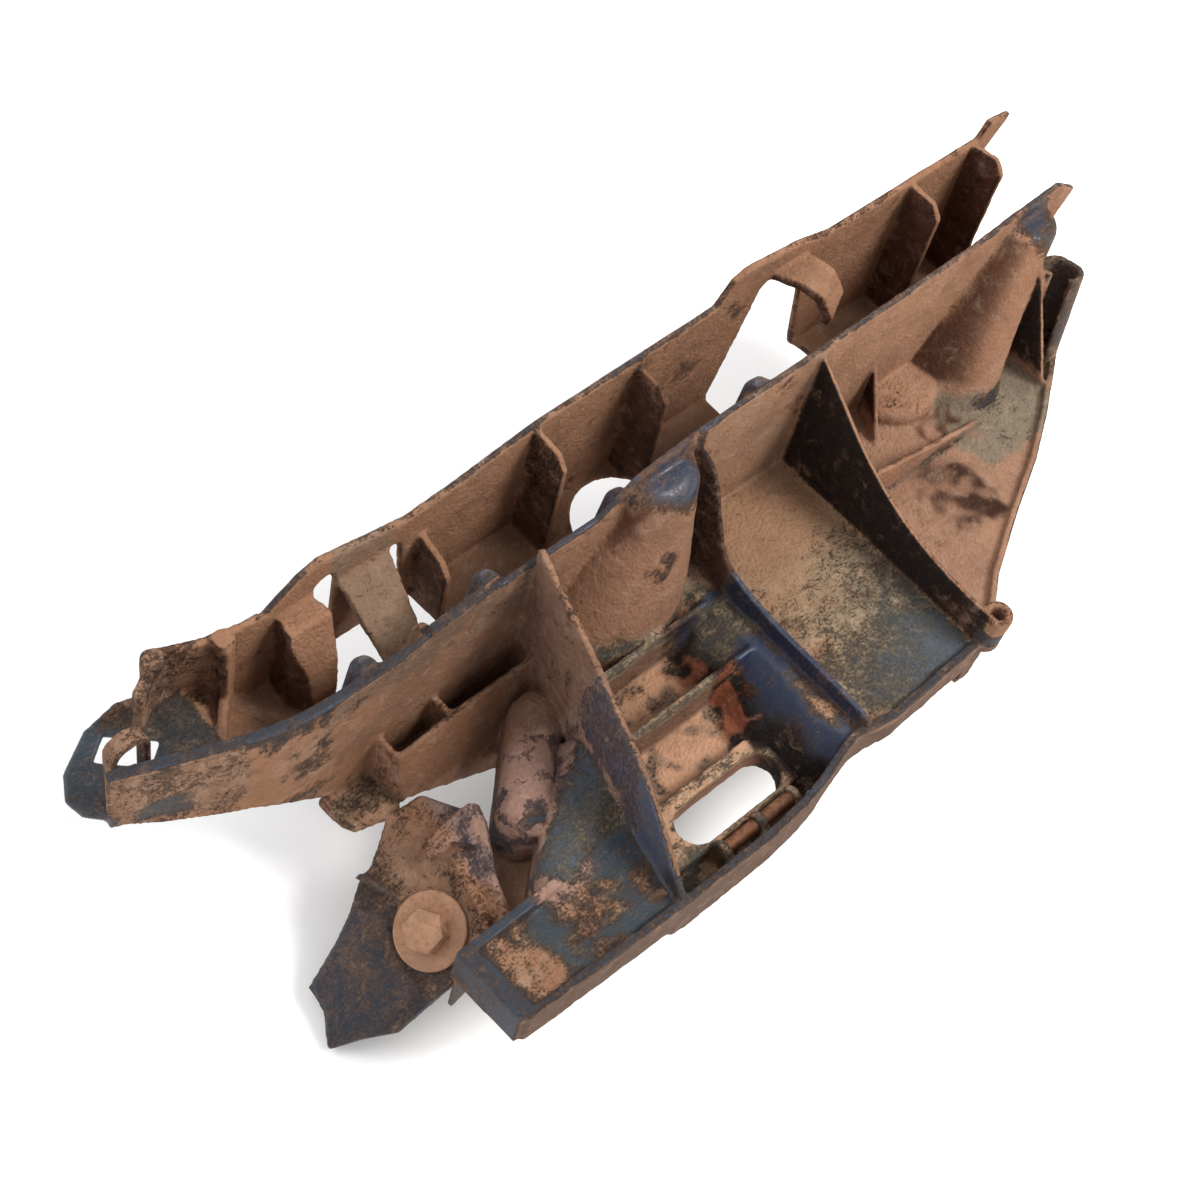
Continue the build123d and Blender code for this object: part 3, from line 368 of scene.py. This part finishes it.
# the foot of the slope: dark crust over black plastic, which is partly painted shade
foot = around(x0=204, x1=236, y0=-122, y1=-34, z0=-26, z1=2) * ramp(-drifted[:, 0], -222, -213)
paint(foot, mud=0.5, colour=srgb(62, 44, 36), under=BLACK, shine=0)
paint(foot * around(y0=-78, y1=-58) * broken, mud=0.9, colour=srgb(150, 86, 60))
paint(around(x0=202, x1=214, y0=-52, y1=-40, z1=-4) * broken, mud=0.9, colour=srgb(158, 98, 70))
paint(around(x0=216, x1=236, y0=-56, y1=-34), mud=0.5, colour=TAN, under=srgb(76, 84, 92))
# gussets
left_side = on_line(153, 0, 125, -124, 3.6, -20, 70) * looking(x=-1, low=0.2, high=0.5)
paint(left_side, mud=0.72, colour=srgb(148, 110, 88), under=srgb(90, 86, 96))
# the lighter bluish plastic lower down this face is a painted reflection, under thinner mud
paint(left_side * around(y1=-45), mud=0.45, colour=srgb(150, 124, 112), under=srgb(104, 102, 120))
paint(left_side * around(y1=-85), mud=0.25, colour=TAN, under=srgb(72, 78, 98))
middle = around(x0=233, x1=238, y0=-112, y1=0, z0=-1, soft=1.2)
# the blue sheen on the middle gusset is a painted reflection
paint(middle, mud=0.14, under=srgb(38, 46, 66), shine=0.5)
# the darker mud on its upper part is dark mud and partly painted shade
paint(middle * around(y0=-34), mud=0.62, colour=srgb(104, 74, 58), under=srgb(60, 66, 80))
right = around(x0=300, x1=305, y0=-112, y1=-1, z0=1, soft=1.2)
# the right gusset's -X face: the near-black mud and plastic are painted shade
paint(right * looking(x=-1), mud=0.42, colour=srgb(62, 42, 34), under=srgb(34, 30, 30))
paint(right * looking(x=1), mud=0.8, colour=DARK_MUD_AND_SHADE)
# the end gusset's -X face: the dark mud and plastic are painted shade
paint(around(x0=423, x1=429, y0=-43, y1=-1, z0=2, soft=1) * looking(x=-1), mud=0.5, colour=srgb(70, 46, 36), under=srgb(30, 27, 28))
# trays
tray = around(x0=237, x1=301, y0=-113, y1=-1, z1=3) * looking(z=1)
paint(tray, mud=0.58, colour=srgb(168, 142, 110), under=srgb(76, 82, 88))
paint(tray * ramp(drifted[:, 1], -75, -25), mud=0.84, colour=srgb(180, 136, 102))
paint(tray * ramp(drifted[:, 0] - 237 - drifted[:, 1] * 0.9, 70, 150), mud=0.3, colour=srgb(142, 134, 112))
left = around(x0=50, x1=152, y0=-121, y1=-62, z0=-2, z1=3) * looking(z=1)
paint(left, mud=0.08, colour=srgb(112, 106, 84), under=TEAL, shine=0.35)
paint(around(x0=124, x1=152, y0=-80, y1=-24, z0=-3, z1=4) * looking(z=1), mud=0.46, colour=srgb(142, 124, 100), under=srgb(72, 80, 86))
paint(around(x0=50, x1=100, y0=-90, y1=-80, z0=-2), mud=0.2, under=srgb(38, 44, 56))
# lip and skirt
lip = around(x0=50, x1=312, y1=-108) * around(z0=1.2, z1=9, soft=0.8)
paint(lip, mud=0.35, colour=DUST, under=srgb(48, 54, 64))
paint(around(x0=48, x1=57, y1=-84, z0=-20), mud=0.25, colour=DUST, under=srgb(36, 43, 55))
paint(around(x0=50, x1=312, y1=-112, z0=-30, z1=1.5) * looking(y=-1), mud=0.8, colour=srgb(122, 96, 80), under=srgb(52, 50, 56))
# saddle
saddle = around(x0=86, x1=150, y0=-92, y1=-14, z0=-36, z1=8) * (1 - left)
saddle *= 1 - spread(on_line(151, -50, 125, -124, 7, -2, 9), pairs, 4)
paint(saddle, mud=0.5, colour=PINK, under=srgb(70, 78, 96))
paint(saddle * broken, mud=0.8, colour=srgb(176, 136, 116))
paint(saddle * around(y0=-34), mud=0.86, colour=srgb(150, 112, 88))
# the bluish plastic on the hump's left flank is a painted reflection
paint(saddle * around(x1=116, y0=-62, z0=-36, z1=-10), mud=0.5, colour=srgb(160, 132, 122), under=srgb(62, 70, 98))
# the dark brown at the foot of the saddle is mud clumps and painted shadow
paint(around(x0=84, x1=124, y0=-84, y1=-46, z0=-36, z1=-27.5, soft=1), mud=0.85, colour=srgb(84, 48, 36))
shoulder = on_line(151, -52, 100, -82, 9, -16, 3) * (1 - around(y0=-30))
paint(spread(shoulder, pairs, 8), mud=0.36, colour=TAN, under=srgb(74, 86, 96))
# ledge
paint(around(x0=60, x1=156, y0=-22, y1=1, z0=-34, z1=2) * looking(y=-1), mud=0.88, colour=srgb(150, 106, 78))
# lower left of the ledge: the black plastic under the mud is painted shadow where the arm passes behind
paint(around(x0=60, x1=86, y0=-20, y1=1, z0=-34, z1=-24), mud=0.62, colour=srgb(138, 110, 86), under=BLACK)
# right-hand panel
# the panel gusset's -X face: the dark mud and black plastic are painted shade
paint(on_line(350, 0, 341, -21, 4, 3) * looking(x=-0.92, y=0.39, low=0.6, high=0.9), mud=0.7, colour=srgb(66, 38, 28), under=BLACK)
panel = around(x0=304, x1=456, y0=-110, y1=-1, z1=8)
paint(panel, mud=0.88, colour=srgb(186, 140, 110))
# the dark brown patches on the panel floor are dark mud and painted shadow
paint(around(x0=320, x1=366, y0=-76, y1=-38, z1=3) * (0.35 + 0.65 * broken), mud=0.84, colour=srgb(74, 48, 36))
paint(around(x0=372, x1=452, y0=-56, y1=-8, z1=4), mud=0.74, colour=srgb(150, 132, 108), under=srgb(110, 110, 110))
# the dark brown patch beside the panel gusset is dark mud and painted shadow cast by it
paint(around(x0=362, x1=384, y0=-38, y1=-20, z1=4) * broken, mud=0.88, colour=srgb(92, 54, 40))
rim = around(x0=310, x1=452, y1=-30, z0=-16, z1=4)
paint(rim * ramp(np.abs(facing[:, 2]), -1, 0.1) * looking(y=-1, low=0.1, high=0.4), mud=0.5, colour=DUST, under=srgb(78, 84, 92))
paint(around(x0=430, x1=452, y0=-42, y1=-10, z0=2), mud=0.45, colour=srgb(150, 118, 92), under=srgb(66, 70, 72))
# arm
arm = around(x0=-10, x1=112, y1=-14, z0=-110, z1=-27)
paint(arm, mud=0.34, colour=srgb(172, 134, 106), under=srgb(34, 39, 51), shine=0.2)
paint(arm * ramp(drifted[:, 0], 52, 76), mud=0.74, colour=srgb(180, 136, 106))
paint(arm * around(x1=46, y0=-74), mud=0.26)
paint(blob(86, -40, -24, 16), mud=0.6, colour=srgb(188, 140, 112), under=srgb(70, 78, 100))
# the front rail's bead is worn bare
bead = around(x0=-20, x1=232, y0=-2, y1=26, z0=45.3, z1=58, soft=0.7) * looking(z=1, low=0.3, high=0.6)
bead *= np.clip(1 - np.abs(place[:, 1] - np.interp(place[:, 0], [-19, 14, 40, 66, 240], [23.4, 11.2, 3.4, 1.5, 1.5])) / 4.5, 0, 1) > 0
paint(bead, mud=0.3, colour=DUST, under=srgb(36, 43, 55), shine=0.3)
paint(around(x0=232, x1=470, y0=-2, y1=4, z0=60) * looking(z=1), mud=0.5, colour=srgb(140, 112, 92), under=srgb(84, 94, 108))
paint(around(x0=60, x1=290, y0=41, y1=46, z0=44) * looking(z=1), mud=0.45, colour=srgb(150, 118, 94), under=srgb(58, 70, 92))
# worn ridges are bare, hollows hold mud
thin = ridge * (1 - 0.6 * looking(z=-1))
paint(thin * 0.7, mud=0.3)
paint(thin * 0.4, under=srgb(74, 80, 90))
paint(wide * 0.7, mud=0.92)

# the mud's relief
points = rest * 1000
coarse = np.array([noise.noise(Vector(p) * 0.09) for p in points])
fine = np.array([noise.noise(Vector(p) * 0.42) for p in points])
amount = ramp(cover + coarse * 0.3, 0.45, 0.85)
lift = amount * (0.2 * coarse + 0.3 * fine + 0.1)
lift += wide * ramp(fine + 0.6 * coarse, -0.1, 0.5) * 0.6
lift = spread(lift, pairs, 1)
moved = rest + facing * (lift / 1000)[:, None]
mesh.vertices.foreach_set("co", moved.ravel())
mesh.update()

store(mesh, "cover", cover)
store(mesh, "gloss", gloss)
store(mesh, "corner", wide)
store(mesh, "ridge", thin)
for name, colours in (("tint", tint), ("base", base)):
    data = np.concatenate([colours, np.ones((len(colours), 1))], axis=1).astype(np.float32)
    mesh.color_attributes.new(name, "FLOAT_COLOR", "POINT").data.foreach_set("color", data.ravel())


def dirty_plastic_and_painted_light():
    """Worn dark plastic under dried mud, with the painted shade and reflections from the masks and painted shade in
    the corners. The mesh says where; the noises say how.
    """
    m = Shader("moulding")
    tint_in = m.add("ShaderNodeAttribute", attribute_name="tint").outputs["Color"]
    base_in = m.add("ShaderNodeAttribute", attribute_name="base").outputs["Color"]
    cover_in = m.attribute("cover")
    corner_in = m.attribute("corner")
    ridge_in = m.attribute("ridge")
    broad = m.noise(38, 5, 0.6, 0.4)
    patch = m.noise(150, 8, 0.7, 0.6)
    grain = m.noise(900, 6, 0.75)
    grit = m.cells(620)
    brush = m.noise(60, 6, 0.65, 0.3, m.stretched((3.2, 26, 6), 0.25))
    # where the mud is
    level = m.math("ADD", cover_in, m.math("MULTIPLY", m.math("SUBTRACT", broad, 0.5), 0.55))
    level = m.math("ADD", level, m.math("MULTIPLY", m.math("SUBTRACT", patch, 0.5), 0.75))
    level = m.math("ADD", level, m.math("MULTIPLY", m.math("SUBTRACT", grain, 0.5), 1.1))
    level = m.math("ADD", level, m.math("MULTIPLY", m.math("SUBTRACT", brush, 0.5), 0.45))
    muddy = m.step(level, 0.14, 0.64)
    crust = m.math("MULTIPLY", muddy, cover_in)
    # the mud's own colour, with dark clots in the corners that are partly painted shade
    pale = m.mix(0.5, tint_in, (0.62, 0.43, 0.30))
    deep = m.mix(0.6, tint_in, (0.085, 0.045, 0.03))
    shade = m.mix(m.math("MULTIPLY", m.step(broad, 0.45, 0.65), 0.4), tint_in, deep)
    shade = m.mix(m.math("MULTIPLY", m.step(patch, 0.5, 0.72), 0.6), shade, pale)
    shade = m.mix(m.math("MULTIPLY", m.step(m.math("SUBTRACT", 1.0, patch), 0.55, 0.7), 0.5), shade, deep)
    shade = m.mix(m.math("MULTIPLY", m.step(grain, 0.54, 0.68), 0.6), shade, deep)
    shade = m.mix(m.math("MULTIPLY", m.step(m.math("SUBTRACT", 1.0, grain), 0.56, 0.68), 0.4), shade, pale)
    # dark clots in the corners: dark mud and painted shade
    clot_and_corner_shade = m.math("ADD", corner_in, m.math("MULTIPLY", m.math("SUBTRACT", patch, 0.5), 1.5))
    clot_and_corner_shade = m.math("MULTIPLY", m.step(clot_and_corner_shade, 0.58, 0.95), 0.6)
    shade = m.mix(clot_and_corner_shade, shade, m.mix(grit, (0.028, 0.013, 0.009), (0.17, 0.075, 0.04)))
    # the plastic's colour, which carries the painted shade and painted reflections set by the masks
    worn_plastic_and_painted_light = m.mix(m.math("MULTIPLY", m.step(brush, 0.45, 0.7), 0.3), base_in, (0.075, 0.085, 0.10))
    worn_plastic_and_painted_light = m.mix(m.math("MULTIPLY", m.step(grain, 0.52, 0.68), 0.4), worn_plastic_and_painted_light, m.mix(0.45, tint_in, base_in))
    worn_plastic_and_painted_light = m.mix(m.math("MULTIPLY", ridge_in, m.step(patch, 0.3, 0.62)), worn_plastic_and_painted_light, (0.095, 0.108, 0.125))
    toned = m.mix(1.0, m.mix(muddy, worn_plastic_and_painted_light, shade), (0.68, 0.71, 0.77), "MULTIPLY")
    m.out("Base Color", toned)
    rough = m.math("SUBTRACT", 0.6, m.math("MULTIPLY", m.attribute("gloss"), 0.34))
    rough = m.math("ADD", rough, m.math("MULTIPLY", m.math("SUBTRACT", patch, 0.5), 0.25))
    m.out("Roughness", m.math("MAXIMUM", rough, m.math("MULTIPLY", muddy, 0.93), True))
    m.out("Specular IOR Level", m.math("SUBTRACT", 0.3, m.math("MULTIPLY", muddy, 0.24)))
    relief = m.math("ADD", m.math("MULTIPLY", patch, 0.8), m.math("MULTIPLY", grain, 1.1))
    normal = m.bump(m.math("MULTIPLY", crust, relief), 0.9, 0.0013)
    normal = m.bump(m.math("MULTIPLY", crust, m.math("SUBTRACT", 1.0, grit)), 0.6, 0.0007, normal)
    m.out("Normal", m.bump(m.noise(2600, 3, 0.6), 0.25, 0.00012, normal))
    return m.material


moulding.data.materials.clear()
moulding.data.materials.append(dirty_plastic_and_painted_light())


# ---------------------------------------------------------------- steel pieces
def dirty_steel(name, bare, rust, dirt, amount):
    """Plated or rusty steel with a dry film of dirt that is thicker in places."""
    m = Shader(name)
    broad = m.noise(90, 5, 0.6, 0.3)
    patch = m.noise(420, 8, 0.7, 0.5)
    grain = m.noise(1600, 5, 0.7)
    colour = m.mix(m.step(broad, 0.4, 0.62), bare, rust)
    colour = m.mix(m.math("MULTIPLY", m.step(patch, 0.56, 0.7), 0.7), colour, m.mix(0.55, rust, (0.05, 0.025, 0.015)))
    film = m.math("ADD", m.math("MULTIPLY", m.math("SUBTRACT", patch, 0.5), 0.8), amount)
    film = m.step(m.math("ADD", film, m.math("MULTIPLY", m.math("SUBTRACT", broad, 0.5), 0.8)), 0.35, 0.65)
    m.out("Base Color", m.mix(film, colour, dirt))
    m.out("Metallic", m.math("MULTIPLY", m.math("SUBTRACT", 1.0, film), 0.55))
    m.out("Roughness", m.math("ADD", m.math("MULTIPLY", film, 0.3), m.math("ADD", m.math("MULTIPLY", patch, 0.3), 0.32)))
    m.out("Normal", m.bump(m.math("ADD", m.math("MULTIPLY", patch, 0.7), grain), 0.5, 0.00035))
    return m.material


bolt_finish = dirty_steel("bolt_steel", srgb(138, 104, 82), srgb(112, 74, 50), srgb(160, 120, 92), 0.55)
pin_finish = dirty_steel("pin_steel", srgb(120, 74, 48), srgb(92, 50, 30), srgb(134, 92, 66), 0.45)
for name, body in (("fixing_bolt", "bolt"), ("bolt_flange_washer", "bolt"), ("compression_sleeve", "bracket"), ("retaining_pin", "bracket")):
    piece = skin(name + "_steel", [name], 0.00035, 2)
    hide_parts(name)
    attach(piece, body)
    piece.data.materials.clear()
    piece.data.materials.append(pin_finish if name == "retaining_pin" else bolt_finish)

# ---------------------------------------------------------------- floor, light and camera
floor_z = cad_bounds[0][2] - 0.0005
bm = bmesh.new()
bmesh.ops.create_grid(bm, x_segments=1, y_segments=1, size=6)
floor_mesh = bpy.data.meshes.new("floor")
bm.to_mesh(floor_mesh)
bm.free()
floor = bpy.data.objects.new("floor", floor_mesh)
floor.location = (0, 0, floor_z)
bpy.context.scene.collection.objects.link(floor)
pale = Shader("pale_floor")
pale.out("Base Color", pale.mix(pale.noise(0.7, 2), (0.93, 0.93, 0.93), (0.95, 0.95, 0.95))).out("Roughness", 0.9)
floor.data.materials.append(pale.material)

world = bpy.data.worlds.new("studio")
world.use_nodes = True
world.node_tree.nodes["Background"].inputs["Color"].default_value = (1, 1, 1, 1)
world.node_tree.nodes["Background"].inputs["Strength"].default_value = 0.92
bpy.context.scene.world = world
bpy.context.scene.view_settings.view_transform = "Standard"


def lamp(name, place, aim, size, power, colour=(1, 1, 1)):
    data = bpy.data.lights.new(name, "AREA")
    data.shape = "DISK"
    data.size = size
    data.energy = power
    data.color = colour
    light = bpy.data.objects.new(name, data)
    light.location = place
    light.rotation_euler = (Vector(aim) - Vector(place)).to_track_quat("-Z", "Y").to_euler()
    bpy.context.scene.collection.objects.link(light)


middle = (0.13, 0.03, 0.05)
lamp("key", (1.05, -1.0, 1.75), middle, 1.0, 58, (1.0, 0.985, 0.96))
lamp("fill", (-0.9, 1.3, 1.6), middle, 1.6, 20, (0.97, 0.985, 1.0))

# The camera looks down on the front from the left, 0.87 m from the bracket's middle.
right = Vector((0.724, -0.669, 0.168))
up = Vector((0.5, 0.677, 0.54))
back = right.cross(up).normalized()
up = back.cross(right).normalized()
right = right.normalized()
turn = Matrix((right, up, back)).transposed().to_4x4()
camera_data = bpy.data.cameras.new("camera")
camera_data.sensor_width = 36
camera_data.lens = 62.9
camera = bpy.data.objects.new("camera", camera_data)
camera.matrix_world = Matrix.Translation(Vector((-0.26518, -0.19494, 0.71717))) @ turn
bpy.context.scene.collection.objects.link(camera)
bpy.context.scene.camera = camera
